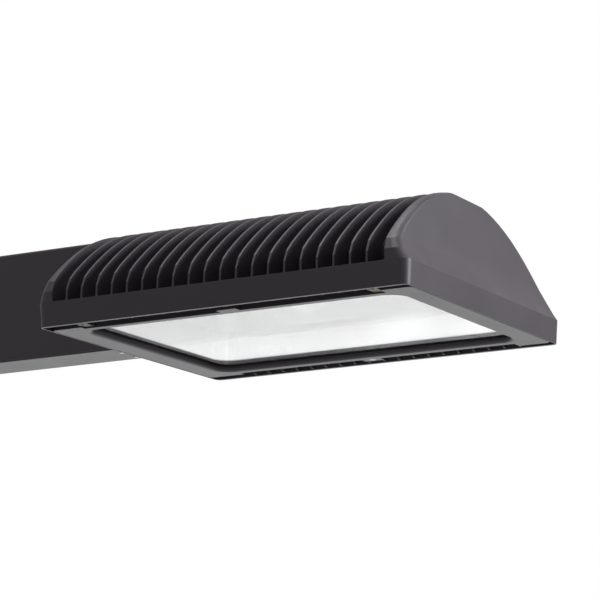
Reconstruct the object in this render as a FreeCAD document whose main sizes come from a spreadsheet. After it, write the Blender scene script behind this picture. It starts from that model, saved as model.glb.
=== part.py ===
import FreeCAD, Part
import math
import os
import re
import Sketcher
from FreeCAD import Placement, Rotation, Vector

# A shoebox area light on a short pole arm, in millimetres.
# +X runs from the pole face along the arm to the nose of the housing, +Z is up.
# The origin is the centre of the pole bolts, on the face that meets the pole.
# "Up" sizes are heights above the rim, the flat underside of the housing.

SIZES = {
    # overall
    "arm_length": 305.0,          # pole face to the tail of the housing
    "housing_length": 600.0,
    "housing_width": 520.0,
    "housing_height": 177.0,
    "axis_up": 93.0,              # pole bolts' centre above the rim
    # skirt: the band round the bottom of the housing
    "band_height": 36.0,
    "band_draft": 2.5,            # each side is this much wider at the band's top
    "corner_radius": 12.0,
    "skirt_wall": 6.0,
    # arched cross-section above the band
    "foot_rise": 16.0,            # nearly upright start of the arch
    "foot_in": 0.8,
    "foot_bulge": 3.5,
    "shoulder_in": 24.5,
    "shoulder_up": 84.0,
    "crown_bulge": 16.5,
    "ridge_width": 88.0,          # flat strip along the top
    "ridge_slope": 0.15,          # rise over run of the flanks beside it
    # end faces, drawn in above the band
    "knee_rise": 52.0,
    "nose_knee_in": 21.0,
    "nose_top_in": 30.0,
    "tail_knee_in": 9.0,
    "tail_top_in": 12.0,
    "end_edge_radius": 5.0,       # rounding of the ridge's two ends
    "end_corner_radius": 12.0,    # rounding of the flanks' ends, in plan
    "flank_sections": 14,
    # fins and end walls
    "fin_count": 20,
    "fin_pitch": 25.8,
    "fin_thickness": 3.0,
    "first_fin": 50.3,            # tail to the middle of the first fin
    "nose_wall": 32.0,            # end walls at the band
    "tail_wall": 25.7,
    "end_wall": 7.0,              # end walls at the crown
    "fin_tip": 8.0,               # flat lower end of each fin beside the skirt
    "fin_tip_up": 1.5,
    # lamp chamber: the inner shell that the fins stand on
    "chamber_width": 438.0,
    "chamber_wall": 5.0,
    "chamber_foot_up": 58.0,
    "chamber_foot_in": 1.0,
    "chamber_foot_bulge": 4.0,
    "chamber_shoulder_in": 23.0,
    "chamber_shoulder_up": 88.0,
    "chamber_bulge": 14.0,
    "crown_fin": 16.0,            # fin height over the crown
    "land_width": 10.0,           # rim that the door gasket seals against
    "land_length": 30.0,          # the same rim at the two ends
    "land_thickness": 6.0,
    # door
    "door_height": 13.5,
    "door_gap": 1.5,
    "door_end_gap": 3.5,
    "door_tail_width": 460.0,     # across the wide corners at the tail
    "door_nose_width": 476.0,
    "door_corner_radius": 8.0,
    "door_tab_width": 466.0,      # across the two middle tabs
    "door_tab_length": 32.0,
    "tab_from_tail": 300.0,
    "hinge_tail_corner": 55.0,    # lengths of the wide corners
    "hinge_nose_corner": 52.0,
    "far_tail_corner": 66.0,
    "far_nose_corner": 56.0,
    "corner_swing_up": 5.0,       # room above the hinge corners, for their swing
    "window_length": 512.0,
    "window_width": 400.0,
    "window_corner": 25.0,
    "window_lip": 7.0,            # rounding of the window's lower edge
    "glass_ledge_up": 8.0,
    "glass_overlap": 8.0,
    "glass_thickness": 4.0,
    "glass_clearance": 1.0,
    "lens_gasket_thickness": 1.5,
    "door_gasket_thickness": 4.0,
    "door_gasket_width": 4.0,
    "door_gasket_in": 2.5,        # its middle, in from the long sides of the chamber
    "clip_spacing": 180.0,
    "clip_length": 16.0,
    "clip_width": 11.0,
    "clip_thickness": 1.2,
    "clip_screw_radius": 1.4,
    "clip_screw_depth": 4.5,
    "clip_screw_out": 3.5,        # from the edge of the lens
    "clip_head_radius": 2.2,
    "clip_head_height": 1.6,
    # hinge
    "hinge_in": 35.0,             # hinge axis, in from the outside of the rim
    "hinge_up": 6.0,
    "hinge_pin_radius": 2.5,
    "hinge_running_gap": 0.05,
    "hinge_block_length": 15.0,
    "hinge_block_width": 33.0,
    "hinge_block_up": 2.0,        # its lower face
    "hinge_block_height": 17.5,
    "hinge_side_gap": 2.0,
    "hinge_pin_reach": 17.0,      # pin length inside the door
    "hinge_screw_radius": 2.0,
    "hinge_screw_in": 8.0,        # from the skirt's inner face
    "hinge_screw_grip": 10.0,     # its length in the housing
    "hinge_boss_height": 16.0,
    # latch screw in the far tab
    "latch_in": 35.0,             # from the outside of the rim
    "latch_radius": 3.0,
    "latch_head_radius": 5.5,
    "latch_head_height": 4.5,
    "latch_length": 28.0,
    "latch_gap": 0.8,
    "latch_play": 0.3,
    "latch_boss_height": 20.0,
    "latch_boss_wall": 11.0,      # latch screw's axis to the boss's outside
    "latch_ring_thickness": 1.0,
    # arm
    "arm_width": 82.0,
    "arm_bottom_up": 3.5,
    "arm_drop": 0.5,              # top of the arm, down from the ridge
    "arm_wall": 5.0,
    "arm_edge_radius": 5.0,
    "pole_wall": 10.0,
    "flange_wall": 10.0,
    "cover_thickness": 3.0,
    "gasket_thickness": 2.0,
    "pole_bolt_spacing": 101.6,
    "pole_bolt_hole": 5.5,
    "wire_hole": 14.0,
    "cover_screw_radius": 2.0,
    "cover_screw_length": 14.0,
    "cover_screw_head": 4.0,
    "cover_screw_head_height": 2.0,
    "arm_bolt_radius": 4.0,
    "arm_bolt_head": 6.5,
    "arm_bolt_head_height": 5.3,
    "arm_bolt_across": 50.0,
    "arm_bolt_down": 18.5,        # upper bolts, down from the top of the arm
    "arm_bolt_rise": 24.5,        # lower bolts, up from the bottom of the arm
    "arm_bolt_grip": 14.0,        # bolt length in the housing's tail
    "washer_thickness": 1.6,
    "grommet_wall": 2.0,
    "grommet_flange": 3.0,
    # light engine
    "plate_length": 500.0,
    "plate_width": 300.0,
    "plate_thickness": 4.0,
    "plate_up": 88.0,
    "post_radius": 7.0,
    "post_from_middle": 235.0,
    "post_aside": 120.0,
    "screw_radius": 2.5,
    "screw_head_radius": 4.5,
    "screw_head_height": 3.0,
    "screw_length": 14.0,
    "tray_length": 508.0,
    "tray_width": 396.0,
    "tray_corner": 24.0,
    "tray_bottom_up": 14.5,
    "tray_upright": 52.0,
    "tray_wall": 1.2,
    "tray_roof_length": 400.0,
    "tray_roof_width": 140.0,
    "tray_screw_in": 20.0,
    "tray_screw_head": 1.6,
    "board_size": 60.0,
    "board_thickness": 3.0,
    "board_from_middle": 110.0,
    "emitter_radius": 18.0,
    "emitter_height": 1.5,
    "aperture_gap": 3.0,
    "board_screw_radius": 1.5,
    "board_screw_head": 2.75,
    "board_screw_in": 5.0,        # from the edges of a board
    "peak_length": 120.0,
    "peak_width": 110.0,
    "peak_depth": 44.0,
    "peak_sheet": 1.5,            # its wall, measured upright
    # control gear on top of the plate
    "gear_from_tail": 72.0,
    "gear_foot": 10.0,
    "gear_foot_thickness": 3.0,
    "gear_screw_head": 2.0,
    "driver_length": 190.0,
    "driver_width": 68.0,
    "driver_height": 38.0,
    "surge_length": 60.0,
    "surge_width": 40.0,
    "surge_height": 28.0,
    "terminal_length": 54.0,
    "terminal_width": 24.0,
    "terminal_height": 18.0,
    "gear_spacing": 40.0,
    "lead_radius": 1.5,
    "lead_aside": 4.0,
    "lead_rise": 12.0,
}

doc = FreeCAD.newDocument("AreaLight")
sheet = doc.addObject("Spreadsheet::Sheet", "Sizes")
for row, (alias, number) in enumerate(SIZES.items(), start=1):
    sheet.set("A%d" % row, alias)
    sheet.set("B%d" % row, repr(number))
    sheet.setAlias("B%d" % row, alias)
doc.recompute()


class Values:
    """The sheet's numbers, for the shapes that are drawn by code."""

    def __getattr__(self, alias):
        return float(getattr(sheet, alias))


s = Values()
nodes = []
AXES = {"x": Rotation(Vector(0, 1, 0), 90), "y": Rotation(Vector(1, 0, 0), -90), "z": Rotation()}


# ---------------------------------------------------------------- helpers

def formula(text):
    """An expression on the sheet, written with bare size names."""
    return re.sub(r"[a-z_]+", lambda word: "Sizes." + word.group(), str(text))


def bind(obj, **properties):
    for name, text in properties.items():
        obj.setExpression(name.replace("__", "."), formula(text))
    return obj


def put(obj, x, y, z):
    return bind(obj, Placement__Base__x=x, Placement__Base__y=y, Placement__Base__z=z)


def block(name, x, y, z, length, width, height):
    """A box from its low corner."""
    box = bind(doc.addObject("Part::Box", name), Length=length, Width=width, Height=height)
    return put(box, x, y, z)


def rod(name, axis, x, y, z, radius, length):
    """A cylinder that starts at a point and runs along +axis."""
    cylinder = bind(doc.addObject("Part::Cylinder", name), Radius=radius, Height=length)
    cylinder.Placement = Placement(Vector(), AXES[axis])
    return put(cylinder, x, y, z)


def cut(name, base, tools):
    result = doc.addObject("Part::Cut", name)
    result.Base = base
    result.Tool = tools[0] if len(tools) == 1 else fuse(name + "_tools", tools)
    return result


def fuse(name, shapes):
    result = doc.addObject("Part::MultiFuse", name)
    result.Shapes = shapes
    return result


def group(name, solids):
    result = doc.addObject("Part::Compound", name)
    result.Links = solids
    return result


def node(obj, label):
    """Registers a finished piece under the name of its file."""
    obj.Label = label
    nodes.append(obj)
    return obj


def coded(name, shape):
    """A piece whose shape is drawn by code from the sheet's numbers."""
    feature = doc.addObject("Part::Feature", name)
    feature.Shape = shape
    feature.Placement = Placement(Vector(s.arm_length, 0, -s.axis_up), Rotation())
    return feature


def rectangle(sketch, length, width):
    """A rectangle about the sketch's origin, with both sizes bound to the sheet."""
    first = sketch.GeometryCount
    corners = [Vector(-9, -9, 0), Vector(9, -9, 0), Vector(9, 9, 0), Vector(-9, 9, 0)]
    for side in range(4):
        sketch.addGeometry(Part.LineSegment(corners[side], corners[(side + 1) % 4]), False)
    for side in range(4):
        following = first + (side + 1) % 4
        sketch.addConstraint(Sketcher.Constraint("Coincident", first + side, 2, following, 1))
    for side in (0, 2):
        sketch.addConstraint(Sketcher.Constraint("Horizontal", first + side))
    for side in (1, 3):
        sketch.addConstraint(Sketcher.Constraint("Vertical", first + side))
    sketch.addConstraint(Sketcher.Constraint("Symmetric", first, 1, first + 1, 2, -1, 1))
    across = sketch.addConstraint(Sketcher.Constraint("DistanceX", first, 1, first, 2, 18))
    along = sketch.addConstraint(Sketcher.Constraint("DistanceY", first + 1, 1, first + 1, 2, 18))
    sketch.setExpression("Constraints[%d]" % across, formula(length))
    sketch.setExpression("Constraints[%d]" % along, formula(width))


def base_plane(body):
    return next(f for f in body.Origin.OriginFeatures if f.Role == "XY_Plane")


def upright_edges(shape, half_length, half_width):
    """Names of the upright edges inside a rectangle about the body's origin."""
    names = []
    for number, edge in enumerate(shape.Edges, start=1):
        box = edge.BoundBox
        upright = box.ZLength > 0.5 and box.XLength < 0.01 and box.YLength < 0.01
        if upright and abs(box.XMax) < half_length and abs(box.YMax) < half_width:
            names.append("Edge%d" % number)
    return names


def plate(label, middle, length, width, thickness, corner=None, window=None):
    """A padded plate centred on a point, with an optional window and rounded corners."""
    body = doc.addObject("PartDesign::Body", label + "_body")
    outline = body.newObject("Sketcher::SketchObject", label + "_outline")
    outline.AttachmentSupport = [(base_plane(body), "")]
    outline.MapMode = "FlatFace"
    rectangle(outline, length, width)
    if window:
        rectangle(outline, window[0], window[1])
    pad = body.newObject("PartDesign::Pad", label + "_pad")
    pad.Profile = outline
    bind(pad, Length=thickness)
    body.Tip = pad
    put(body, *middle)
    doc.recompute()
    if corner:
        rounding = body.newObject("PartDesign::Fillet", label + "_corners")
        rounding.Base = (pad, upright_edges(pad.Shape, 1e4, 1e4))
        bind(rounding, Radius=corner)
        body.Tip = rounding
    return body


def along_housing(text):
    """X of a place measured from the housing's tail."""
    return "arm_length + " + text


def above_rim(text):
    """Z of a place measured up from the rim."""
    return text + " - axis_up"


def screw(name, axis, place, head_radius, head_height, radius, length):
    """A head with its bearing face at a point and a shank that runs on along the axis."""
    x, y, z = place
    low = {"x": (x + " - " + head_height, y, z), "z": (x, y, z + " - " + head_height)}[axis]
    head = rod(name + "_head", axis, *low, head_radius, head_height)
    shank = rod(name + "_shank", axis, x, y, z, radius, length)
    return fuse(name, [head, shank])


# Part::Feature shapes are drawn with x from the tail and z from the rim

def line(a, b):
    return Part.LineSegment(a, b).toShape()


def bulge_point(a, b, bulge):
    """The point to the right of the middle of the way from a to b, in the YZ plane."""
    way = b - a
    return (a + b) * 0.5 + Vector(0, way.z, -way.y).normalize() * bulge


def flank(base, foot, shoulder, ridge, foot_bulge, crown_bulge):
    """One smooth flank of an arched section, nearly level where it reaches the flat ridge."""
    points = [foot, bulge_point(foot, shoulder, foot_bulge), shoulder,
              bulge_point(shoulder, ridge, crown_bulge), ridge]
    travelled = [0.0]
    for a, b in zip(points, points[1:]):
        travelled.append(travelled[-1] + (b - a).Length)
    curve = Part.BSplineCurve()
    curve.interpolate(Points=points, Parameters=travelled, Scale=False,
                      InitialTangent=(foot - base).normalize(),
                      FinalTangent=Vector(0, -1, s.ridge_slope).normalize())
    return curve


def polygon(points):
    return Part.Face(Part.makePolygon(points + points[:1]))


def rounded_wire(low_x, high_x, half_width, radius, z):
    """A rounded rectangle in plan."""
    centres = [(high_x - radius, half_width - radius), (low_x + radius, half_width - radius),
               (low_x + radius, radius - half_width), (high_x - radius, radius - half_width)]
    arcs = []
    for quarter, (x, y) in enumerate(centres):
        turns = [math.radians(90 * quarter + step) for step in (0, 45, 90)]
        points = [Vector(x + radius * math.cos(t), y + radius * math.sin(t), z) for t in turns]
        arcs.append(points)
    edges = []
    for quarter, points in enumerate(arcs):
        edges.append(Part.Arc(*points).toShape())
        edges.append(line(points[2], arcs[(quarter + 1) % 4][0]))
    return Part.Wire(edges)


def rounded_slab(low_x, high_x, half_width, radius, low_z, high_z):
    wire = rounded_wire(low_x, high_x, half_width, radius, low_z)
    return Part.Face(wire).extrude(Vector(0, 0, high_z - low_z))


def slab(low, high):
    """A box between two corners."""
    size = [b - a for a, b in zip(low, high)]
    return Part.makeBox(*size, Vector(*low))


# ---------------------------------------------------------------- shared places

tail = 0.0
nose = s.housing_length
side = s.housing_width / 2
skirt_inside = side - s.skirt_wall
chamber_side = s.chamber_width / 2
door_side = chamber_side
recess_up = s.door_height + s.door_gasket_thickness
hinge_y = s.hinge_in - side
latch_y = side - s.latch_in
hinge_ends = (s.hinge_tail_corner, nose - s.hinge_nose_corner)
hinge_room = s.hinge_block_length + 2 * s.hinge_side_gap
through = 40.0                    # how far a cutting tool runs past what it cuts
into = 1.0                        # how far a boss runs into the wall it stands on
HINGE_X = ("hinge_tail_corner", "housing_length - hinge_nose_corner")
LATCH = (along_housing("tab_from_tail"), "housing_width / 2 - latch_in")


# ---------------------------------------------------------------- housing

def housing_flank():
    half = side + s.band_draft
    base = Vector(0, half, s.band_height)
    foot = base + Vector(0, -s.foot_in, s.foot_rise)
    shoulder = Vector(0, half - s.shoulder_in, s.shoulder_up)
    ridge = Vector(0, s.ridge_width / 2, s.housing_height)
    return base, foot, flank(base, foot, shoulder, ridge, s.foot_bulge, s.crown_bulge)


def drawn_in(z, knee_in, top_in):
    """How far an end face stands in at a height: flared below the knee, straight above it."""
    knee = s.band_height + s.knee_rise
    lean = (top_in - knee_in) / (s.housing_height - knee)
    if z < knee:
        left = (knee - z) / s.knee_rise
        return knee_in * (1 - left ** 2) - lean * s.knee_rise * left * (1 - left)
    into_edge = max(0.0, z - s.housing_height + s.end_edge_radius)
    rounding = s.end_edge_radius - math.sqrt(s.end_edge_radius ** 2 - into_edge ** 2)
    return knee_in + lean * (z - knee) + rounding


def upper_body():
    """The arched body above the band, ruled between level sections from the band to the ridge."""
    base, foot, curve = housing_flank()
    points = [base, (base + foot) * 0.5, foot]
    steps = int(s.flank_sections)
    first, last = curve.FirstParameter, curve.LastParameter
    points += [curve.value(first + (last - first) * step / steps) for step in range(1, steps + 1)]
    big = s.corner_radius + s.band_draft
    wires = []
    for point in points:
        risen = min(1.0, (point.z - s.band_height) / s.knee_rise)
        radius = big + (s.end_corner_radius - big) * risen
        low_x = tail - s.band_draft + drawn_in(point.z, s.tail_knee_in, s.tail_top_in)
        high_x = nose + s.band_draft - drawn_in(point.z, s.nose_knee_in, s.nose_top_in)
        wires.append(rounded_wire(low_x, high_x, point.y, radius, point.z))
    return Part.makeLoft(wires, True, True)


def chamber_face(offset, base):
    """The lamp chamber's cross-section in the YZ plane, offset inwards from its outside."""
    half = chamber_side - offset
    low = Vector(0, half, base)
    foot = Vector(0, half - s.chamber_foot_in, s.chamber_foot_up)
    shoulder = Vector(0, half - s.chamber_shoulder_in, s.chamber_shoulder_up - offset / 2)
    ridge = Vector(0, s.ridge_width / 2, s.housing_height - s.crown_fin - offset)
    curve = flank(low, foot, shoulder, ridge, s.chamber_foot_bulge, s.chamber_bulge)
    right = [line(low, foot), curve.toShape()]
    left = [edge.mirror(Vector(), Vector(0, 1, 0)) for edge in right]
    top = line(ridge, Vector(0, -ridge.y, ridge.z))
    bottom = line(Vector(0, -half, base), low)
    return Part.Face(Part.Wire(Part.__sortEdges__(right + left + [top, bottom])))


def between_end_walls():
    """The room between the two end walls, which get thinner towards the crown."""
    top = s.housing_height + 1
    low = s.band_height
    nose_top_wall = s.nose_top_in + s.end_wall
    tail_top_wall = s.tail_top_in + s.end_wall - s.band_draft
    points = [Vector(s.tail_wall, 0, -1), Vector(nose - s.nose_wall, 0, -1),
              Vector(nose - s.nose_wall, 0, low), Vector(nose - nose_top_wall, 0, top),
              Vector(tail_top_wall, 0, top), Vector(s.tail_wall, 0, low)]
    face = polygon(points)
    face.translate(Vector(0, -side - through, 0))
    return face.extrude(Vector(0, 2 * (side + through), 0))


def fin_gaps():
    """Everything between the fins: over the crown, and down inside the skirt."""
    high = s.housing_height + through
    wide = side + through
    outside = polygon([Vector(0, -wide, -1), Vector(0, wide, -1),
                       Vector(0, wide, high), Vector(0, -wide, high)])
    section = outside.cut(chamber_face(0, -2))
    for sign in (-1, 1):
        near, far = sorted((sign * skirt_inside, sign * (wide + 1)))
        skirt = polygon([Vector(0, near, -2), Vector(0, far, -2),
                         Vector(0, far, s.band_height), Vector(0, near, s.band_height)])
        section = section.cut(skirt)
    edges = [s.first_fin + s.fin_pitch * number for number in range(int(s.fin_count))]
    half_fin = s.fin_thickness / 2
    starts = [tail - through] + [x + half_fin for x in edges]
    stops = [x - half_fin for x in edges] + [nose + through]
    gaps = []
    for start, stop in zip(starts, stops):
        gap = section.copy()
        gap.translate(Vector(start, 0, 0))
        gaps.append(gap.extrude(Vector(stop - start, 0, 0)))
    room = between_end_walls()
    return [gap.common(room) for gap in gaps]


def under_fins():
    """Room cut from under the fins, which slope up from the skirt to the chamber."""
    tip = skirt_inside - s.fin_tip
    rise = recess_up - s.fin_tip_up
    cuts = []
    for sign in (-1, 1):
        outline = [(chamber_side, -1), (skirt_inside, -1), (skirt_inside, s.fin_tip_up),
                   (tip, s.fin_tip_up), (tip - rise, recess_up), (chamber_side, recess_up)]
        face = polygon([Vector(s.tail_wall, sign * y, z) for y, z in outline])
        cuts.append(face.extrude(Vector(nose - s.nose_wall - s.tail_wall, 0, 0)))
    return cuts


def door_recess():
    """Room for the door: its middle, its wide corners, and the swing of the hinge corners."""
    low_x = tail + s.door_end_gap - s.door_gap
    high_x = nose - s.door_end_gap + s.door_gap
    room = slab((low_x, -door_side - s.door_gap, -1), (high_x, door_side + s.door_gap, recess_up))
    swing_up = recess_up + s.corner_swing_up
    for start, stop in ((low_x, s.far_tail_corner + s.door_gap),
                        (nose - s.far_nose_corner - s.door_gap, high_x)):
        room = room.fuse(slab((start, 0, -1), (stop, skirt_inside, recess_up)))
    for start, stop in ((low_x, hinge_ends[0] + s.door_gap), (hinge_ends[1] - s.door_gap, high_x)):
        room = room.fuse(slab((start, -skirt_inside, -1), (stop, -door_side, swing_up)))
    for start in (hinge_ends[0], hinge_ends[1] - hinge_room):
        low = (start, -skirt_inside, -1)
        high = (start + hinge_room, -chamber_side, s.hinge_block_height)
        room = room.fuse(slab(low, high))
    corner = s.corner_radius - s.skirt_wall
    return room.common(rounded_slab(low_x, high_x, skirt_inside, corner, -1, swing_up))


def cavity():
    """The hollow lamp chamber with the narrower opening that the door closes."""
    above_land = recess_up + s.land_thickness
    face = chamber_face(s.chamber_wall, above_land)
    hollow = face.extrude(Vector(nose, 0, 0)).common(between_end_walls())
    mouth = rounded_slab(tail + s.land_length, nose - s.land_length, chamber_side - s.land_width,
                         s.window_corner, recess_up - 1, above_land + 1)
    return hollow.fuse(mouth)


def housing_shape():
    draft = s.band_draft
    band = Part.makeLoft([rounded_wire(tail, nose, side, s.corner_radius, 0),
                          rounded_wire(tail - draft, nose + draft, side + draft,
                                       s.corner_radius + draft, s.band_height)], True, True)
    body = band.fuse(upper_body())
    # flat pad on the tail, as large as the arm's end
    half_pad = s.arm_width / 2
    body = body.fuse(slab((tail, -half_pad, s.arm_bottom_up),
                          (s.tail_wall, half_pad, s.housing_height - s.arm_drop)))
    # nothing of the tail stands behind the pad
    body = body.cut(slab((tail - through, -half_pad - into, -1),
                         (tail, half_pad + into, s.housing_height + 1)))
    body = body.cut(fin_gaps() + under_fins() + [door_recess()])
    body = body.cut(cavity())
    # posts for the mounting plate, down from the crown of the chamber
    post_low = s.plate_up + s.plate_thickness
    posts = []
    for x, y in plate_posts():
        length = s.housing_height - s.crown_fin / 2 - post_low
        posts.append(Part.makeCylinder(s.post_radius, length, Vector(x, y, post_low)))
    inner = chamber_face(s.chamber_wall / 2, s.band_height).extrude(Vector(nose, 0, 0))
    posts = [post.common(inner) for post in posts]
    # bosses over the hinge blocks and the latch screw, between the chamber and the skirt
    bosses = []
    for start in (hinge_ends[0] + s.hinge_side_gap, hinge_ends[1] - hinge_room + s.hinge_side_gap):
        bosses.append(slab((start, -skirt_inside - into, s.hinge_block_height),
                           (start + s.hinge_block_length, -chamber_side + into,
                            s.hinge_block_height + s.hinge_boss_height)))
    half_tab = s.door_tab_length / 2
    boss_low = (s.tab_from_tail - half_tab, chamber_side - into, recess_up)
    boss_high = (s.tab_from_tail + half_tab, latch_y + s.latch_boss_wall, recess_up + s.latch_boss_height)
    bosses.append(slab(boss_low, boss_high))
    body = body.fuse(posts + bosses)
    return body.cut(housing_holes()).removeSplitter()


def plate_posts():
    middle = s.housing_length / 2
    return [(middle + a * s.post_from_middle, b * s.post_aside) for a in (-1, 1) for b in (-1, 1)]


def housing_holes():
    """Screw holes, the latch screw's hole and the passage for the supply wires."""
    up = Vector(0, 0, 1)
    along = Vector(1, 0, 0)
    holes = []
    for x, y in plate_posts():
        depth = s.screw_length - s.plate_thickness
        holes.append(Part.makeCylinder(s.screw_radius, depth,
                                       Vector(x, y, s.plate_up + s.plate_thickness), up))
    for x in (hinge_ends[0] + hinge_room / 2, hinge_ends[1] - hinge_room / 2):
        place = Vector(x, -skirt_inside + s.hinge_screw_in, s.hinge_block_height)
        holes.append(Part.makeCylinder(s.hinge_screw_radius, s.hinge_screw_grip, place, up))
    holes.append(Part.makeCylinder(s.latch_radius + s.latch_gap, s.latch_length,
                                   Vector(s.tab_from_tail, latch_y, recess_up - 1), up))
    wires = s.wire_hole + s.grommet_wall
    holes.append(Part.makeCylinder(wires, s.tail_wall + 2, Vector(tail - 1, 0, s.axis_up), along))
    high_bolts = s.housing_height - s.arm_drop - s.arm_bolt_down
    for y in (-s.arm_bolt_across / 2, s.arm_bolt_across / 2):
        for z in (high_bolts, s.arm_bottom_up + s.arm_bolt_rise):
            holes.append(Part.makeCylinder(s.arm_bolt_radius, s.arm_bolt_grip, Vector(tail, y, z), along))
    return holes


# ---------------------------------------------------------------- door frame

def door_frame_shape():
    low_x = tail + s.door_end_gap
    high_x = nose - s.door_end_gap
    high = s.door_height
    tab_side = s.door_tab_width / 2
    half_tab = s.door_tab_length / 2
    body = slab((low_x, -door_side, 0), (high_x, door_side, high))
    at_tail = rounded_slab(low_x, high_x, s.door_tail_width / 2, s.door_corner_radius, 0, high)
    at_nose = rounded_slab(low_x, high_x, s.door_nose_width / 2, s.door_corner_radius, 0, high)
    corners = [(at_tail, tail, hinge_ends[0], -1), (at_nose, hinge_ends[1], nose, -1),
               (at_tail, tail, s.far_tail_corner, 1), (at_nose, nose - s.far_nose_corner, nose, 1)]
    for outline, start, stop, sign in corners:
        low_y, high_y = sorted((0.0, sign * side))
        body = body.fuse(outline.common(slab((start, low_y, 0), (stop, high_y, high))))
    body = body.fuse(slab((s.tab_from_tail - half_tab, -tab_side, 0),
                          (s.tab_from_tail + half_tab, tab_side, high))).removeSplitter()
    # the hinge side's outer top edge is relieved, to swing past the lamp chamber
    relief_y = hinge_y - (recess_up - s.hinge_up) + s.door_gap
    relief_up = s.hinge_up - hinge_y - door_side - s.door_gap
    body = body.cut(slab((tail, -side, relief_up), (nose, relief_y, high + 1)))
    middle = s.housing_length / 2
    half_window = s.window_length / 2
    window = rounded_slab(middle - half_window, middle + half_window, s.window_width / 2,
                          s.window_corner, -1, high + 1)
    body = body.cut(window)
    lip = [edge for edge in body.Edges if is_window_lip(edge)]
    body = body.makeFillet(s.window_lip, lip)
    half_pocket = half_window + s.glass_overlap + s.glass_clearance
    pocket = rounded_slab(middle - half_pocket, middle + half_pocket,
                          s.window_width / 2 + s.glass_overlap + s.glass_clearance,
                          s.window_corner + s.glass_clearance, s.glass_ledge_up, high + 1)
    return body.cut([pocket] + door_holes())


def is_window_lip(edge):
    box = edge.BoundBox
    half_window = s.window_length / 2 + 1
    middle = s.housing_length / 2
    in_window = box.XMin > middle - half_window and box.XMax < middle + half_window
    return box.ZMax < 0.01 and in_window and box.YMax < s.window_width / 2 + 1 \
        and box.YMin > -s.window_width / 2 - 1


def clip_places():
    """Middles of the lens clips and the way in towards the lens."""
    middle = s.housing_length / 2
    aside = s.window_width / 2 + s.glass_overlap
    along = s.window_length / 2 + s.glass_overlap
    steps = (-s.clip_spacing, 0, s.clip_spacing)
    places = [(middle + step, sign * aside, 0, -sign) for step in steps for sign in (-1, 1)]
    places += [(middle + sign * along, 0, -sign, 0) for sign in (-1, 1)]
    return places


def door_holes():
    up = Vector(0, 0, 1)
    along = Vector(1, 0, 0)
    bore = s.hinge_pin_radius + s.hinge_running_gap
    depth = s.hinge_pin_reach + 1
    holes = []
    for x in (hinge_ends[0] - depth, hinge_ends[1]):
        holes.append(Part.makeCylinder(bore, depth, Vector(x, hinge_y, s.hinge_up), along))
    holes.append(Part.makeCylinder(s.latch_radius + s.hinge_running_gap, s.door_height + 2,
                                   Vector(s.tab_from_tail, latch_y, -1), up))
    holes.append(Part.makeCylinder(s.latch_head_radius + s.latch_play,
                                   s.latch_head_height + s.latch_play + 1,
                                   Vector(s.tab_from_tail, latch_y, -1), up))
    for x, y, inward_x, inward_y in clip_places():
        place = Vector(x - s.clip_screw_out * inward_x, y - s.clip_screw_out * inward_y,
                       s.door_height - s.clip_screw_depth)
        holes.append(Part.makeCylinder(s.clip_screw_radius, s.clip_screw_depth + 1, place, up))
    return holes


# ---------------------------------------------------------------- reflector

def tray_shape():
    """A metallised tray: upright walls, then a sloping roof with one hole per emitter."""
    middle = s.housing_length / 2
    roof_up = s.plate_up - s.board_thickness

    def body(wall, low):
        half = s.tray_length / 2 - wall
        edge_up = s.tray_bottom_up + s.tray_upright
        upright = rounded_slab(middle - half, middle + half, s.tray_width / 2 - wall,
                               s.tray_corner - wall, s.tray_bottom_up - low, edge_up)
        foot = rounded_wire(middle - half, middle + half, s.tray_width / 2 - wall,
                            s.tray_corner - wall, edge_up)
        half_roof = s.tray_roof_length / 2 - wall
        head = rounded_wire(middle - half_roof, middle + half_roof, s.tray_roof_width / 2 - wall,
                            s.tray_corner - wall, roof_up - wall)
        return upright.fuse(Part.makeLoft([foot, head], True, True))

    tray = body(0, 0).cut(body(s.tray_wall, 1))
    up = Vector(0, 0, 1)
    for sign in (-1, 1):
        place = Vector(middle + sign * s.board_from_middle, 0, roof_up - 3)
        tray = tray.cut(Part.makeCylinder(s.emitter_radius + s.aperture_gap, 6, place, up))
    for x, y in reflector_screws():
        tray = tray.cut(Part.makeCylinder(s.board_screw_radius, 6, Vector(x, y, roof_up - 3), up))
    return tray


def reflector_screws():
    middle = s.housing_length / 2
    reach = s.tray_roof_length / 2 - s.tray_screw_in
    aside = s.tray_roof_width / 2 - s.tray_screw_in
    return [(middle + a * reach, b * aside) for a in (-1, 1) for b in (-1, 1)]


def peak_shape():
    """A faceted centre piece of sheet that hangs from the tray's roof, point down."""
    middle = s.housing_length / 2
    top = s.plate_up - s.board_thickness - s.tray_wall
    low = top - s.peak_depth
    half_x = s.peak_length / 2
    half_y = s.peak_width / 2
    base = [Vector(middle - half_x, -half_y, top), Vector(middle + half_x, -half_y, top),
            Vector(middle + half_x, half_y, top), Vector(middle - half_x, half_y, top)]
    # the point is a short ridge, so that each side has its own facet
    ridge = [Vector(middle, -half_y / 3, low), Vector(middle, half_y / 3, low)]
    faces = [polygon(base),
             polygon([base[0], base[1], ridge[0]]),
             polygon([base[1], base[2], ridge[1], ridge[0]]),
             polygon([base[2], base[3], ridge[1]]),
             polygon([base[3], base[0], ridge[0], ridge[1]])]
    solid = Part.makeSolid(Part.makeShell(faces))
    hollow = solid.copy()
    hollow.translate(Vector(0, 0, s.peak_sheet))
    return solid.cut(hollow)


# ---------------------------------------------------------------- castings and door

node(coded("HousingCasting", housing_shape()), "housing")
node(coded("DoorCasting", door_frame_shape()), "door_frame")

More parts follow.
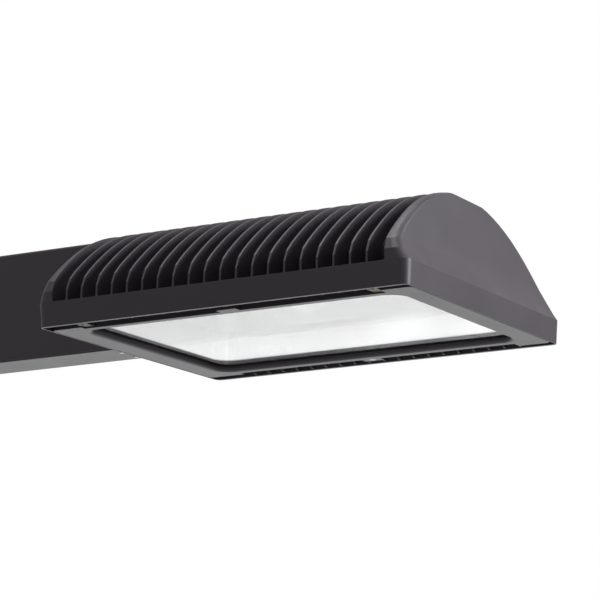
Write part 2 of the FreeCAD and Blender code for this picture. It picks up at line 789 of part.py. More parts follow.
MIDDLE = along_housing("housing_length / 2")
pocket_length = "(window_length + 2 * glass_overlap)"
pocket_width = "(window_width + 2 * glass_overlap)"
node(plate("lens_gasket", (MIDDLE, "0", above_rim("glass_ledge_up")), pocket_length, pocket_width,
           "lens_gasket_thickness", corner="window_corner",
           window=("window_length", "window_width")), "lens_gasket")
node(plate("lens_glass", (MIDDLE, "0", above_rim("glass_ledge_up + lens_gasket_thickness")),
           pocket_length, pocket_width, "glass_thickness", corner="window_corner"), "lens_glass")

# the door gasket runs round the land that it seals against
gasket_length = "(housing_length - 2 * land_length + land_width)"
gasket_width = "(chamber_width - 2 * door_gasket_in)"
node(plate("door_gasket", (MIDDLE, "0", above_rim("door_height")),
           gasket_length + " + door_gasket_width", gasket_width + " + door_gasket_width",
           "door_gasket_thickness", corner="window_corner",
           window=(gasket_length + " - door_gasket_width", gasket_width + " - door_gasket_width")),
     "door_gasket")

clips = []
clip_screws = []
CLIP_X = [MIDDLE + step for step in (" - clip_spacing", "", " + clip_spacing")]
GLASS_SIDE = "(window_width / 2 + glass_overlap)"
GLASS_END = "(window_length / 2 + glass_overlap)"
clip_list = [(x, sign + GLASS_SIDE, "0", sign) for x in CLIP_X for sign in ("-", "")]
clip_list += [(MIDDLE + " - " + GLASS_END, "0", "-", "0"), (MIDDLE + " + " + GLASS_END, "0", "", "0")]
for number, (x, y, out_x, out_y) in enumerate(clip_list, start=1):
    half = ["clip_length / 2", "clip_width / 2"]
    if out_y == "0":
        half.reverse()
    x_screw = x + " + " + out_x + "clip_screw_out" if out_x != "0" else x
    y_screw = y + " + " + out_y + "clip_screw_out" if out_y != "0" else y
    low = above_rim("door_height - clip_screw_depth")
    strip = block("ClipStrip%d" % number, x + " - " + half[0], y + " - " + half[1],
                  above_rim("door_height"), "2 * " + half[0], "2 * " + half[1], "clip_thickness")
    shank = rod("ClipShank%d" % number, "z", x_screw, y_screw, low, "clip_screw_radius",
                "clip_screw_depth + clip_thickness")
    head = rod("ClipHead%d" % number, "z", x_screw, y_screw, above_rim("door_height + clip_thickness"),
               "clip_head_radius", "clip_head_height")
    hole = rod("ClipHole%d" % number, "z", x_screw, y_screw, low, "clip_screw_radius",
               "clip_screw_depth + 2 * clip_thickness")
    clips.append(cut("ClipPlate%d" % number, strip, [hole]))
    clip_screws.append(fuse("ClipScrew%d" % number, [shank, head]))
node(group("Clips", clips), "lens_clips")
node(group("ClipScrews", clip_screws), "clip_screws")

# ---------------------------------------------------------------- hinge

blocks = []
pins = []
block_screws = []
for number, (edge, sign) in enumerate(zip(HINGE_X, "+-"), start=1):
    middle_x = along_housing("%s %s (hinge_side_gap + hinge_block_length / 2)" % (edge, sign))
    hinge_axis = ("hinge_in - housing_width / 2", above_rim("hinge_up"))
    low_y = "skirt_wall - housing_width / 2"
    screw_y = low_y + " + hinge_screw_in"
    body = block("HingeBody%d" % number, middle_x + " - hinge_block_length / 2", low_y,
                 above_rim("hinge_block_up"), "hinge_block_length", "hinge_block_width",
                 "hinge_block_height - hinge_block_up")
    pin_hole = rod("HingePinHole%d" % number, "x", middle_x + " - hinge_block_length", *hinge_axis,
                   "hinge_pin_radius", "2 * hinge_block_length")
    screw_hole = rod("HingeScrewHole%d" % number, "z", middle_x, screw_y, above_rim("0"),
                     "hinge_screw_radius", "2 * hinge_block_height")
    blocks.append(cut("HingeBlock%d" % number, body, [pin_hole, screw_hole]))
    if number == 1:
        pin_start = along_housing("hinge_tail_corner - hinge_pin_reach")
    else:
        pin_start = middle_x + " - hinge_block_length / 2 - hinge_side_gap"
    pins.append(rod("HingePin%d" % number, "x", pin_start, *hinge_axis, "hinge_pin_radius",
                    "hinge_pin_reach + 2 * hinge_side_gap + hinge_block_length"))
    block_screws.append(screw("HingeScrew%d" % number, "z",
                              (middle_x, screw_y, above_rim("hinge_block_up")),
                              "2 * hinge_screw_radius", "hinge_block_up", "hinge_screw_radius",
                              "hinge_block_height - hinge_block_up + hinge_screw_grip"))
node(group("HingeBlocks", blocks), "hinge_blocks")
node(group("HingePins", pins), "hinge_pins")
node(group("HingeScrews", block_screws), "hinge_block_screws")

# ---------------------------------------------------------------- latch screw

head = rod("LatchHead", "z", *LATCH, above_rim("0"), "latch_head_radius", "latch_head_height")
shank = rod("LatchShank", "z", *LATCH, above_rim("latch_head_height"), "latch_radius",
            "latch_length - latch_head_height")
slot = block("LatchSlot", LATCH[0] + " - latch_head_radius", LATCH[1] + " - latch_radius / 4",
             above_rim("0") + " - latch_head_height / 2", "2 * latch_head_radius", "latch_radius / 2",
             "latch_head_height")
node(cut("LatchScrew", fuse("LatchTurned", [head, shank]), [slot]), "latch_screw")
ring = rod("LatchRingDisc", "z", *LATCH, above_rim("door_height + latch_play"), "2 * latch_radius",
           "latch_ring_thickness")
ring_hole = rod("LatchRingHole", "z", *LATCH, above_rim("0"), "latch_radius", "latch_length")
node(cut("LatchRing", ring, [ring_hole]), "latch_ring")

# ---------------------------------------------------------------- arm

arm_low = above_rim("arm_bottom_up")
arm_reach = "(arm_length - 2 * gasket_thickness)"
arm_tall = "(housing_height - arm_drop - arm_bottom_up - cover_thickness)"
sheet_tall = "housing_height - arm_drop - arm_bottom_up - arm_edge_radius"
outside = block("ArmOutside", "gasket_thickness", "-arm_width / 2", arm_low + " + cover_thickness",
                arm_reach, "arm_width", arm_tall)
doc.recompute()
rounded = doc.addObject("Part::Fillet", "ArmRounded")
rounded.Base = outside
top_edges = []
for number, edge in enumerate(outside.Shape.Edges, start=1):
    box = edge.BoundBox
    if box.ZLength < 0.01 and box.XLength > 1 and box.ZMax > outside.Shape.BoundBox.ZMax - 0.01:
        top_edges.append((number, s.arm_edge_radius, s.arm_edge_radius))
rounded.Edges = top_edges
inside = block("ArmInside", "gasket_thickness + pole_wall", "arm_wall - arm_width / 2",
               arm_low + " - 1", arm_reach + " - pole_wall - flange_wall",
               "arm_width - 2 * arm_wall", arm_tall + " + cover_thickness + 1 - arm_wall")
POLE_BOLTS = ("pole_bolt_spacing / 2", "-pole_bolt_spacing / 2")
ARM_BOLTS = [(sign + "arm_bolt_across / 2", above_rim(up)) for sign in ("", "-")
             for up in ("housing_height - arm_drop - arm_bolt_down", "arm_bottom_up + arm_bolt_rise")]
COVER_SCREWS = [(x, y) for x in ("gasket_thickness + pole_wall / 2",
                                 "arm_length - gasket_thickness - flange_wall / 2")
                for y in ("arm_width / 4", "-arm_width / 4")]
arm_holes = [rod("PoleBoltHole%d" % number, "x", "-1", "0", z, "pole_bolt_hole", "pole_wall + 6")
             for number, z in enumerate(POLE_BOLTS)]
arm_holes.append(rod("WireEntry", "x", "-1", "0", "0", "wire_hole", "pole_wall + 6"))
arm_holes.append(rod("WireExit", "x", "arm_length - flange_wall - 6", "0", "0",
                     "wire_hole + grommet_wall", "flange_wall + 12"))
arm_holes += [rod("ArmBoltHole%d" % number, "x", "arm_length - flange_wall - 6", y, z,
                  "arm_bolt_radius", "flange_wall + 12")
              for number, (y, z) in enumerate(ARM_BOLTS)]
arm_holes += [rod("CoverScrewHole%d" % number, "z", x, y, arm_low, "cover_screw_radius",
                  "cover_screw_length")
              for number, (x, y) in enumerate(COVER_SCREWS)]
node(cut("ArmCasting", rounded, [inside] + arm_holes), "arm")

cover = block("CoverPlate", "gasket_thickness", "-arm_width / 2", arm_low, arm_reach, "arm_width",
              "cover_thickness")
cover_holes = []
cover_screws = []
for number, (x, y) in enumerate(COVER_SCREWS):
    cover_holes.append(rod("CoverHole%d" % number, "z", x, y, arm_low + " - 1", "cover_screw_radius",
                           "cover_thickness + 2"))
    cover_screws.append(screw("CoverScrew%d" % number, "z", (x, y, arm_low), "cover_screw_head",
                              "cover_screw_head_height", "cover_screw_radius", "cover_screw_length"))
node(cut("ArmCover", cover, cover_holes), "arm_cover")
node(group("CoverScrews", cover_screws), "arm_cover_screws")

pole_sheet = block("PoleSheet", "0", "-arm_width / 2", arm_low, "gasket_thickness", "arm_width",
                   sheet_tall)
pole_holes = [rod("PoleGasketHole%d" % number, "x", "-1", "0", z, "pole_bolt_hole",
                  "gasket_thickness + 2")
              for number, z in enumerate(POLE_BOLTS)]
pole_holes.append(rod("PoleGasketWires", "x", "-1", "0", "0", "wire_hole", "gasket_thickness + 2"))
node(cut("PoleGasket", pole_sheet, pole_holes), "pole_gasket")

arm_sheet = block("ArmSheet", "arm_length - gasket_thickness", "-arm_width / 2", arm_low,
                  "gasket_thickness", "arm_width", sheet_tall)
sheet_holes = [rod("ArmGasketHole%d" % number, "x", "arm_length - 2 * gasket_thickness", y, z,
                   "arm_bolt_radius", "3 * gasket_thickness")
               for number, (y, z) in enumerate(ARM_BOLTS)]
sheet_holes.append(rod("ArmGasketWires", "x", "arm_length - 2 * gasket_thickness", "0", "0",
                       "wire_hole + grommet_wall", "3 * gasket_thickness"))
node(cut("ArmGasket", arm_sheet, sheet_holes), "arm_gasket")

washers = []
bolts = []
bolt_seat = "arm_length - gasket_thickness - flange_wall"
for number, (y, z) in enumerate(ARM_BOLTS):
    disc = rod("WasherDisc%d" % number, "x", bolt_seat + " - washer_thickness", y, z,
               "2 * arm_bolt_radius", "washer_thickness")
    hole = rod("WasherHole%d" % number, "x", bolt_seat + " - 2 * washer_thickness", y, z,
               "arm_bolt_radius", "4 * washer_thickness")
    washers.append(cut("Washer%d" % number, disc, [hole]))
    bolts.append(screw("ArmBolt%d" % number, "x", (bolt_seat + " - washer_thickness", y, z),
                       "arm_bolt_head", "arm_bolt_head_height", "arm_bolt_radius",
                       "washer_thickness + flange_wall + gasket_thickness + arm_bolt_grip"))
node(group("ArmWashers", washers), "arm_washers")
node(group("ArmBolts", bolts), "arm_bolts")

# the grommet lines the wire passage and holds itself with a flange inside the arm
sleeve = rod("GrommetSleeve", "x", bolt_seat, "0", "0", "wire_hole + grommet_wall",
             "flange_wall + gasket_thickness + tail_wall")
flange = rod("GrommetFlange", "x", bolt_seat + " - grommet_wall", "0", "0",
             "wire_hole + grommet_wall + grommet_flange", "grommet_wall")
bore = rod("GrommetBore", "x", bolt_seat + " - 2 * grommet_wall", "0", "0", "wire_hole",
           "flange_wall + 2 * gasket_thickness + 2 * tail_wall")
node(cut("Grommet", fuse("GrommetBody", [sleeve, flange]), [bore]), "wire_grommet")

# ---------------------------------------------------------------- light engine

POSTS = [(MIDDLE + a + "post_from_middle", b + "post_aside") for a in (" + ", " - ") for b in ("", "-")]
plate_body = plate("led_plate_blank", (MIDDLE, "0", above_rim("plate_up")), "plate_length",
                   "plate_width", "plate_thickness", corner="post_radius")
plate_holes = [rod("PlateHole%d" % number, "z", x, y, above_rim("plate_up - 2"), "screw_radius",
                   "plate_thickness + 4")
               for number, (x, y) in enumerate(POSTS)]
plate_screws = [screw("PlateScrew%d" % number, "z", (x, y, above_rim("plate_up")),
                      "screw_head_radius", "screw_head_height", "screw_radius", "screw_length")
                for number, (x, y) in enumerate(POSTS)]

node(coded("ReflectorTray", tray_shape()), "reflector_tray")
node(coded("ReflectorPeak", peak_shape()), "reflector_peak")

ROOF = "plate_up - board_thickness"
boards = []
emitters = []
board_screws = []
for number, sign in enumerate((" - ", " + ")):
    x = MIDDLE + sign + "board_from_middle"
    square = block("BoardSquare%d" % number, x + " - board_size / 2", "-board_size / 2", above_rim(ROOF),
                   "board_size", "board_size", "board_thickness")
    corner_holes = []
    for a in ("-", "+"):
        for b in ("-", "+"):
            place = (x + " %s (board_size / 2 - board_screw_in)" % a,
                     "0 %s (board_size / 2 - board_screw_in)" % b)
            tag = "%d%d" % (number, len(corner_holes))
            corner_holes.append(rod("BoardHole" + tag, "z", *place, above_rim(ROOF + " - 1"),
                                    "board_screw_radius", "board_thickness + 2"))
            plate_holes.append(rod("BoardPlateHole" + tag, "z", *place, above_rim("plate_up - 1"),
                                   "board_screw_radius", "plate_thickness + 2"))
            board_screws.append(rod("BoardScrew" + tag, "z", *place, above_rim(ROOF),
                                    "board_screw_radius", "board_thickness + plate_thickness"))
    boards.append(cut("Board%d" % number, square, corner_holes))
    emitters.append(rod("Emitter%d" % number, "z", x, "0", above_rim(ROOF) + " - emitter_height",
                        "emitter_radius", "emitter_height"))
tray_screws = []
for number, (a, b) in enumerate(((" + ", ""), (" + ", "-"), (" - ", ""), (" - ", "-"))):
    place = (MIDDLE + a + "(tray_roof_length / 2 - tray_screw_in)",
             b + "(tray_roof_width / 2 - tray_screw_in)")
    plate_holes.append(rod("TrayPlateHole%d" % number, "z", *place, above_rim("plate_up - 1"),
                           "board_screw_radius", "plate_thickness + 2"))
    sleeve = rod("TraySpacer%d" % number, "z", *place, above_rim(ROOF), "board_screw_head",
                 "board_thickness")
    shank = rod("TrayShank%d" % number, "z", *place, above_rim(ROOF + " - tray_wall"),
                "board_screw_radius", "board_thickness + plate_thickness + tray_wall")
    head = rod("TrayHead%d" % number, "z", *place, above_rim(ROOF + " - tray_wall - tray_screw_head"),
               "board_screw_head", "tray_screw_head")
    tray_screws.append(fuse("TrayScrew%d" % number, [sleeve, shank, head]))
node(group("PlateScrews", plate_screws), "plate_screws")
node(group("Boards", boards), "led_boards")
node(group("Emitters", emitters), "led_emitters")
node(group("BoardScrews", board_screws), "board_screws")
node(group("TrayScrews", tray_screws), "reflector_screws")

# ---------------------------------------------------------------- control gear

GEAR_Z = above_rim("plate_up + plate_thickness")
gear_screws = []
gear_start = along_housing("gear_from_tail")


def gear_box(label, x, length, width, height):
    """A box on the plate with a foot at each end and two screws through each foot."""
    case = block(label + "_case", x, "-%s / 2" % width, GEAR_Z, length, width, height)
    foot = block(label + "_foot", x + " - gear_foot", "-%s / 2" % width, GEAR_Z,
                 length + " + 2 * gear_foot", width, "gear_foot_thickness")
    holes = []
    for x_screw in (x + " - gear_foot / 2", x + " + %s + gear_foot / 2" % length):
        for sign in ("", "-"):
            place = (x_screw, "%s%s / 4" % (sign, width))
            tag = "%s_%d" % (label, len(holes))
            holes.append(rod(tag + "_hole", "z", *place, GEAR_Z + " - 1", "board_screw_radius",
                             "gear_foot_thickness + 2"))
            plate_holes.append(rod(tag + "_plate_hole", "z", *place, above_rim("plate_up - 1"),
                                   "board_screw_radius", "plate_thickness + 2"))
            shank = rod(tag + "_shank", "z", *place, above_rim("plate_up"), "board_screw_radius",
                        "plate_thickness + gear_foot_thickness")
            head = rod(tag + "_head", "z", *place, GEAR_Z + " + gear_foot_thickness",
                       "board_screw_head", "gear_screw_head")
            gear_screws.append(fuse(tag + "_screw", [shank, head]))
    return node(cut(label + "_box", fuse(label + "_body", [case, foot]), holes), label)


surge_start = gear_start + " + terminal_length + gear_spacing"
driver_start = surge_start + " + surge_length + gear_spacing"
gear_box("terminal_block", gear_start, "terminal_length", "terminal_width", "terminal_height")
gear_box("surge_protector", surge_start, "surge_length", "surge_width", "surge_height")
gear_box("driver", driver_start, "driver_length", "driver_width", "driver_height")
node(group("GearScrews", gear_screws), "gear_screws")

# straight supply leads from box to box
leads = []
for number, (start, stop) in enumerate(((gear_start + " + terminal_length", surge_start),
                                        (surge_start + " + surge_length", driver_start))):
    for sign in ("", "-"):
        leads.append(rod("Lead%d%s" % (number, sign and "b"), "x", start, sign + "lead_aside",
                         GEAR_Z + " + lead_rise", "lead_radius", "gear_spacing"))
node(group("Leads", leads), "supply_leads")

node(cut("LedPlate", plate_body, plate_holes), "led_plate")

# ---------------------------------------------------------------- check and write

doc.recompute()
for obj in doc.Objects:
    if "Invalid" in obj.State or "Error" in obj.State:
        raise RuntimeError("failed object: %s %s" % (obj.Name, obj.State))
os.makedirs("parts", exist_ok=True)
for obj in nodes:
    shape = obj.Shape
    if shape.isNull() or not shape.isValid() or not shape.Solids:
        raise RuntimeError("bad shape: " + obj.Label)
    shape.exportStep("parts/%s.step" % obj.Label)
    print("%-20s %2d solids %12.1f mm3" % (obj.Label, len(shape.Solids), shape.Volume))
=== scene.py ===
import math

import bpy
from mathutils import Matrix, Vector

# A shoebox area light, seen from below its latch corner, lit by soft studio light.

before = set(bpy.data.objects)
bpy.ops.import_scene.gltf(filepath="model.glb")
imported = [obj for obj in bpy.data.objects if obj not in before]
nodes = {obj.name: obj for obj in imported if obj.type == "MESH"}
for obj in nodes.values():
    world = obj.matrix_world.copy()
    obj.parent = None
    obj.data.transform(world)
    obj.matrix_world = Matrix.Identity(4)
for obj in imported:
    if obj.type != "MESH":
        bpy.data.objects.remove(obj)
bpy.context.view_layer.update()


# ---------------------------------------------------------------- shader maths

NOISE_ROUGHNESS = 0.55
BEVEL_SAMPLES = 4
# sockets of a Mix node that mixes colours: three inputs and its result
MIX_FACTOR, MIX_FIRST, MIX_SECOND = 0, 6, 7
MIX_COLOUR = 2


class Value:
    """A number or colour that varies over a surface. Arithmetic on it adds Math nodes."""

    def __init__(self, nodes, socket):
        self.nodes = nodes
        self.socket = socket

    def math(self, operation, first, second):
        settings = {"operation": operation}
        return self.nodes.add("ShaderNodeMath", settings, {0: first, 1: second})

    def __add__(self, other):
        return self.math("ADD", self, other)

    def __radd__(self, other):
        return self.math("ADD", other, self)

    def __sub__(self, other):
        return self.math("SUBTRACT", self, other)

    def __rsub__(self, other):
        return self.math("SUBTRACT", other, self)

    def __mul__(self, other):
        return self.math("MULTIPLY", self, other)

    def __rmul__(self, other):
        return self.math("MULTIPLY", other, self)

    def at_least(self, other):
        return self.math("MAXIMUM", self, other)


class Nodes:
    """One node tree, with a method that adds any node."""

    def __init__(self, tree):
        self.tree = tree

    def add(self, kind, settings=None, inputs=None, output=0):
        node = self.tree.nodes.new(kind)
        for name, setting in (settings or {}).items():
            setattr(node, name, setting)
        for key, value in (inputs or {}).items():
            if isinstance(value, Value):
                self.tree.links.new(value.socket, node.inputs[key])
            else:
                node.inputs[key].default_value = value
        return Value(self, node.outputs[output]) if node.outputs else None

    def coordinates(self):
        return self.add("ShaderNodeTexCoord", output="Object")

    def stretched(self, x, y, z):
        """Object coordinates multiplied along each axis."""
        return self.add("ShaderNodeVectorMath", {"operation": "MULTIPLY"},
                        {0: self.coordinates(), 1: (x, y, z)})

    def noise(self, scale, detail, where=None):
        inputs = {"Vector": where or self.coordinates(), "Scale": scale, "Detail": detail,
                  "Roughness": NOISE_ROUGHNESS}
        return self.add("ShaderNodeTexNoise", None, inputs, "Fac")

    def band(self, value, low, high):
        """0 below low, 1 above high, smooth between."""
        settings = {"interpolation_type": "SMOOTHSTEP", "clamp": True}
        inputs = {"Value": value, "From Min": low, "From Max": high}
        return self.add("ShaderNodeMapRange", settings, inputs)

    def mix(self, factor, first, second):
        """Between two colours."""
        inputs = {MIX_FACTOR: factor, MIX_FIRST: first, MIX_SECOND: second}
        return self.add("ShaderNodeMix", {"data_type": "RGBA"}, inputs, MIX_COLOUR)

    def bump(self, height, distance, strength, normal=None):
        inputs = {"Height": height, "Distance": distance, "Strength": strength}
        if normal:
            inputs["Normal"] = normal
        return self.add("ShaderNodeBump", None, inputs)

    def rounded(self, radius):
        """The surface's normal with its edges softened."""
        return self.add("ShaderNodeBevel", {"samples": BEVEL_SAMPLES}, {"Radius": radius})

    def edges(self, rounded):
        """0 on a flat surface, rising towards 1 on an edge."""
        true_normal = self.add("ShaderNodeNewGeometry", output="Normal")
        facing = self.add("ShaderNodeVectorMath", {"operation": "DOT_PRODUCT"},
                          {0: rounded, 1: true_normal}, "Value")
        return self.band(1 - facing, 0.01, 0.16)

    def facing_up(self):
        """0 on upright and lower faces, 1 on level upper faces."""
        normal = self.add("ShaderNodeNewGeometry", output="Normal")
        height = self.add("ShaderNodeSeparateXYZ", None, {0: normal}, "Z")
        return self.band(height, 0.3, 0.95)


def new_material(name):
    material = bpy.data.materials.new(name)
    material.use_nodes = True
    material.node_tree.nodes.clear()
    return material, Nodes(material.node_tree)


def principled(n, **inputs):
    named = {name.replace("_", " "): value for name, value in inputs.items()}
    shader = n.add("ShaderNodeBsdfPrincipled", None, named)
    n.add("ShaderNodeOutputMaterial", None, {"Surface": shader})


def linear(red, green, blue):
    """An sRGB colour of 0..255 as linear light."""
    parts = []
    for part in (red, green, blue):
        c = part / 255
        parts.append(c / 12.92 if c <= 0.04045 else ((c + 0.055) / 1.055) ** 2.4)
    return (*parts, 1.0)


# ---------------------------------------------------------------- finishes

ACROSS_LINES = (1, 60, 60)          # brushed lines run along x
PLAIN_GRAIN = 700                   # scale of a moulding's texture
FINE_GRAIN = 1800
# Paler edge colours: rubbed wear and painted edge highlight together.
METAL_EDGE_WEAR_AND_HIGHLIGHT = linear(214, 214, 216)
COAT_EDGE_WEAR_AND_HIGHLIGHT = linear(104, 101, 106)
PLASTIC_EDGE_WEAR_AND_HIGHLIGHT = linear(225, 225, 222)
DUST = linear(128, 124, 118)


def bronze_powder_coat():
    """Satin dark bronze powder coat: orange peel, soft mottling, paler edges of rubbed wear and
    painted edge highlight, light dust.
    """
    material, n = new_material("bronze_powder_coat")
    rounded = n.rounded(0.0009)
    # Edge mask, patchy by noise: rubbed wear and painted edge highlight, mixed into the colour
    # below.
    edge_wear_and_highlight = n.edges(rounded) * n.band(n.noise(70, 4), 0.25, 0.75)
    mottled = n.noise(9, 4)
    colour = n.mix(mottled, linear(46, 42, 48), linear(57, 52, 59))
    colour = n.mix(edge_wear_and_highlight * 0.6, colour, COAT_EDGE_WEAR_AND_HIGHLIGHT)
    dust = n.facing_up() * n.band(n.noise(22, 6), 0.42, 0.8)
    colour = n.mix(dust * 0.18, colour, DUST)
    roughness = 0.36 + mottled * 0.08 + dust * 0.25 + n.noise(160, 2) * 0.05
    peel = n.noise(950, 2) * 0.7 + n.noise(240, 2) * 0.3
    normal = n.bump(peel, 0.00006, 0.5, rounded)
    principled(n, Base_Color=colour, Roughness=roughness, Specular_IOR_Level=0.42,
               Normal=normal)
    return material


def clear_glass():
    """Clear tempered glass with a faint green body and the slight ripple of rolled glass."""
    material, n = new_material("tempered_glass")
    ripple = n.noise(14, 1, where=n.stretched(1, 3, 1))
    smudge = n.band(n.noise(5, 5), 0.5, 0.85)
    colour = n.mix(smudge * 0.3, (0.97, 0.985, 0.98, 1), (0.93, 0.94, 0.94, 1))
    roughness = 0.015 + smudge * 0.03
    principled(n, Base_Color=colour, Roughness=roughness, IOR=1.45, Transmission_Weight=1.0,
               Normal=n.bump(ripple, 0.0001, 0.12))
    return material


def reflector_finish():
    """Vacuum-metallised reflector: bright, slightly diffuse, faint waves of the pressed sheet."""
    material, n = new_material("metallised_reflector")
    waves = n.noise(16, 2, where=n.stretched(1, 1, 2.5))
    haze = n.noise(420, 3)
    colour = n.mix(n.noise(7, 3), linear(249, 248, 250), linear(253, 252, 253))
    roughness = 0.2 + n.band(n.noise(11, 4), 0.3, 0.8) * 0.1
    normal = n.bump(haze, 0.00003, 0.3, n.bump(waves, 0.002, 0.25))
    principled(n, Base_Color=colour, Roughness=roughness, Metallic=1.0, Normal=normal)
    return material


def brushed_metal(name, dark, light, roughness, metallic=1.0):
    """Bare or plated metal with fine lines along one axis, and paler edges of rubbed wear and
    painted edge highlight.
    """
    material, n = new_material(name)
    rounded = n.rounded(0.0004)
    lines = n.noise(60, 4, where=n.stretched(*ACROSS_LINES))
    spots = n.band(n.noise(300, 4), 0.45, 0.8)
    colour = n.mix(lines * 0.6 + spots * 0.4, dark, light)
    # Paler edges: rubbed wear and painted edge highlight.
    colour = n.mix(n.edges(rounded) * 0.5, colour, METAL_EDGE_WEAR_AND_HIGHLIGHT)
    principled(n, Base_Color=colour, Roughness=roughness + spots * 0.14, Metallic=metallic,
               Normal=n.bump(lines, 0.00004, 0.5, rounded))
    return material


def soft_rubber(name, dark, light):
    """Moulded rubber or silicone: matt, faintly mottled, with fine moulding grain."""
    material, n = new_material(name)
    grain = n.noise(1300, 3)
    bloom = n.band(n.noise(35, 5), 0.35, 0.85)
    principled(n, Base_Color=n.mix(bloom, dark, light), Roughness=0.62 + bloom * 0.2,
               Specular_IOR_Level=0.35, Normal=n.bump(grain, 0.00006, 0.5))
    return material


def moulded_plastic(name, dark, light, roughness, grain=PLAIN_GRAIN):
    """Moulded plastic: spark-eroded texture, slight colour drift, and paler corners of rubbed wear
    and painted edge highlight.
    """
    material, n = new_material(name)
    rounded = n.rounded(0.0005)
    drift = n.noise(28, 4)
    colour = n.mix(drift, dark, light)
    # Paler corners: rubbed wear and painted edge highlight.
    colour = n.mix(n.edges(rounded) * 0.25, colour, PLASTIC_EDGE_WEAR_AND_HIGHLIGHT)
    principled(n, Base_Color=colour, Roughness=roughness + drift * 0.12,
               Normal=n.bump(n.noise(grain, 2), 0.00005, 0.5, rounded))
    return material


def board_mask():
    """White solder mask with the tracks showing as faint raised rings."""
    material, n = new_material("white_solder_mask")
    tracks = n.add("ShaderNodeTexWave", {"wave_type": "RINGS", "rings_direction": "Z"},
                   {"Vector": n.coordinates(), "Scale": 45.0, "Distortion": 1.5})
    raised = n.band(tracks, 0.55, 0.7)
    speckle = n.noise(900, 2)
    colour = n.mix(raised * 0.5 + speckle * 0.3, linear(236, 238, 236), linear(222, 225, 221))
    principled(n, Base_Color=colour, Roughness=0.28 + speckle * 0.12, Coat_Weight=0.3,
               Normal=n.bump(raised, 0.00006, 0.6))
    return material


def phosphor_gel():
    """Yellow phosphor under clear silicone, grainy and a little cloudy."""
    material, n = new_material("phosphor_gel")
    grain = n.noise(1500, 4)
    cloud = n.noise(90, 3)
    colour = n.mix(cloud * 0.7 + grain * 0.3, linear(236, 198, 82), linear(250, 226, 128))
    principled(n, Base_Color=colour, Roughness=0.3 + grain * 0.15, Coat_Weight=0.6,
               Normal=n.bump(grain, 0.00005, 0.6))
    return material


FINISHES = {
    bronze_powder_coat(): ("housing", "door_frame", "arm", "arm_cover"),
    clear_glass(): ("lens_glass",),
    reflector_finish(): ("reflector_tray", "reflector_peak"),
    brushed_metal("zinc_plate", linear(150, 152, 156), linear(196, 198, 201), 0.34):
        ("clip_screws", "latch_screw", "arm_cover_screws", "arm_washers", "arm_bolts",
         "reflector_screws", "plate_screws", "board_screws", "gear_screws"),
    brushed_metal("spring_steel", linear(128, 129, 133), linear(170, 171, 175), 0.3):
        ("lens_clips", "latch_ring"),
    brushed_metal("black_oxide", linear(36, 36, 38), linear(58, 58, 61), 0.4, metallic=0.6):
        ("hinge_pins", "hinge_block_screws"),
    # Hinge blocks: olive chromate tone, darkened further as painted shade of the recess.
    brushed_metal("olive_chromate_and_painted_shade", linear(60, 57, 30), linear(84, 80, 44), 0.46, metallic=0.6):
        ("hinge_blocks",),
    brushed_metal("mill_aluminium", linear(186, 188, 191), linear(214, 215, 217), 0.36):
        ("led_plate", "driver"),
    soft_rubber("pale_silicone", linear(176, 177, 174), linear(200, 200, 197)):
        ("door_gasket",),
    soft_rubber("black_rubber", linear(26, 26, 27), linear(44, 43, 43)):
        ("lens_gasket", "pole_gasket", "arm_gasket", "wire_grommet"),
    board_mask(): ("led_boards",),
    phosphor_gel(): ("led_emitters",),
    moulded_plastic("ivory_nylon", linear(214, 208, 184), linear(228, 223, 203), 0.42):
        ("terminal_block",),
    moulded_plastic("black_casing", linear(28, 28, 30), linear(42, 42, 45), 0.46):
        ("surge_protector",),
    moulded_plastic("wire_insulation", linear(24, 24, 26), linear(36, 36, 38), 0.34, FINE_GRAIN):
        ("supply_leads",),
}
for finish, names in FINISHES.items():
    for name in names:
        nodes[name].data.materials.clear()
        nodes[name].data.materials.append(finish)


# ---------------------------------------------------------------- studio

TARGET = Vector((0.598804, 0.0, -0.036879))
AZIMUTH, ELEVATION, ROLL = [math.radians(a) for a in (28.513, -11.732, -0.558)]
DISTANCE = 4.0320
SENSOR = 36.0                       # millimetres
FRAME = 600                         # pixels across the frame
FOCAL = 2696.5 * SENSOR / FRAME     # the number is the focal length in pixels
CLIP_END = 60
FLOOR_DEPTH = 3.2                   # below the pole bolts
FLOOR_HALF = 14.0
AMBIENT = 0.3                       # strength of the world for plain light
SHEEN = 0.25                        # strength of the world in glossy reflections
# name: direction from the target, distance, side of the square, power
SOFTBOXES = {
    "nose_softbox": ((0.9, 0.25, 0.35), 3.0, 1.6, 142),
    "top_softbox": ((-0.1, -0.1, 1.0), 3.0, 2.0, 70),
    "rear_softbox": ((-0.45, 0.86, -0.35), 3.6, 3.0, 27),
}


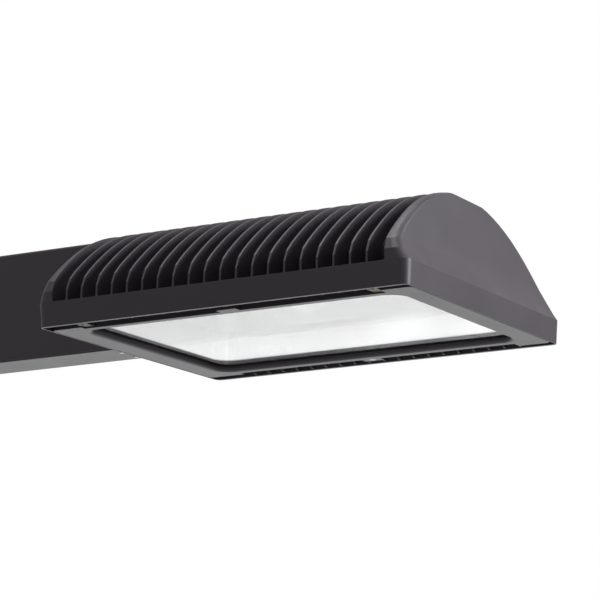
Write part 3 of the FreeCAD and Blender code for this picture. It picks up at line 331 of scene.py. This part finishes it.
def make_camera():
    """The camera of the photo, on a sphere round the target."""
    level_reach = math.cos(ELEVATION)
    back = Vector((math.sin(AZIMUTH) * level_reach, -math.cos(AZIMUTH) * level_reach,
                   math.sin(ELEVATION)))
    level = (-back).cross(Vector((0, 0, 1))).normalized()
    upright = level.cross(-back)
    right = level * math.cos(ROLL) + upright * math.sin(ROLL)
    up = upright * math.cos(ROLL) - level * math.sin(ROLL)
    data = bpy.data.cameras.new("camera")
    data.lens = FOCAL
    data.sensor_width = SENSOR
    data.sensor_fit = "HORIZONTAL"
    data.clip_end = CLIP_END
    camera = bpy.data.objects.new("camera", data)
    turn = Matrix((right, up, back)).transposed().to_4x4()
    camera.matrix_world = Matrix.Translation(TARGET + back * DISTANCE) @ turn
    bpy.context.scene.collection.objects.link(camera)
    bpy.context.scene.camera = camera


def softbox(name, direction, distance, size, power):
    """A square lamp that faces the target from a direction."""
    data = bpy.data.lights.new(name, "AREA")
    data.shape = "SQUARE"
    data.size = size
    data.energy = power
    lamp = bpy.data.objects.new(name, data)
    away = Vector(direction).normalized()
    lamp.location = TARGET + away * distance
    lamp.rotation_euler = away.to_track_quat("Z", "Y").to_euler()
    bpy.context.scene.collection.objects.link(lamp)


def make_floor():
    """A wide pale floor, as far below the light as a short pole holds it."""
    signs = [(-1, -1), (1, -1), (1, 1), (-1, 1)]
    corners = [(a * FLOOR_HALF, b * FLOOR_HALF, -FLOOR_DEPTH) for a, b in signs]
    mesh = bpy.data.meshes.new("floor")
    mesh.from_pydata(corners, [], [(0, 1, 2, 3)])
    floor = bpy.data.objects.new("floor", mesh)
    bpy.context.scene.collection.objects.link(floor)
    material, n = new_material("pale_floor")
    tone = n.mix(n.noise(1.5, 4), linear(238, 238, 238), linear(243, 243, 243))
    principled(n, Base_Color=tone, Roughness=0.8 + n.noise(40, 3) * 0.1)
    mesh.materials.append(material)


def light_world():
    """Soft light all round. It shows white to the camera and through glass, and grey in gloss."""
    world = bpy.data.worlds.new("studio")
    bpy.context.scene.world = world
    world.use_nodes = True
    world.node_tree.nodes.clear()
    n = Nodes(world.node_tree)
    seen = n.add("ShaderNodeLightPath", output="Is Camera Ray")
    glossy = n.add("ShaderNodeLightPath", output="Is Glossy Ray")
    through = n.add("ShaderNodeLightPath", output="Is Transmission Ray")
    white = seen.at_least(glossy * SHEEN).at_least(through)
    strength = white * (1 - AMBIENT) + AMBIENT
    inputs = {"Color": (1, 1, 1, 1), "Strength": strength}
    background = n.add("ShaderNodeBackground", None, inputs)
    n.add("ShaderNodeOutputWorld", None, {"Surface": background})


make_camera()
make_floor()
light_world()
for name, settings in SOFTBOXES.items():
    softbox(name, *settings)
bpy.context.scene.view_settings.view_transform = "Standard"
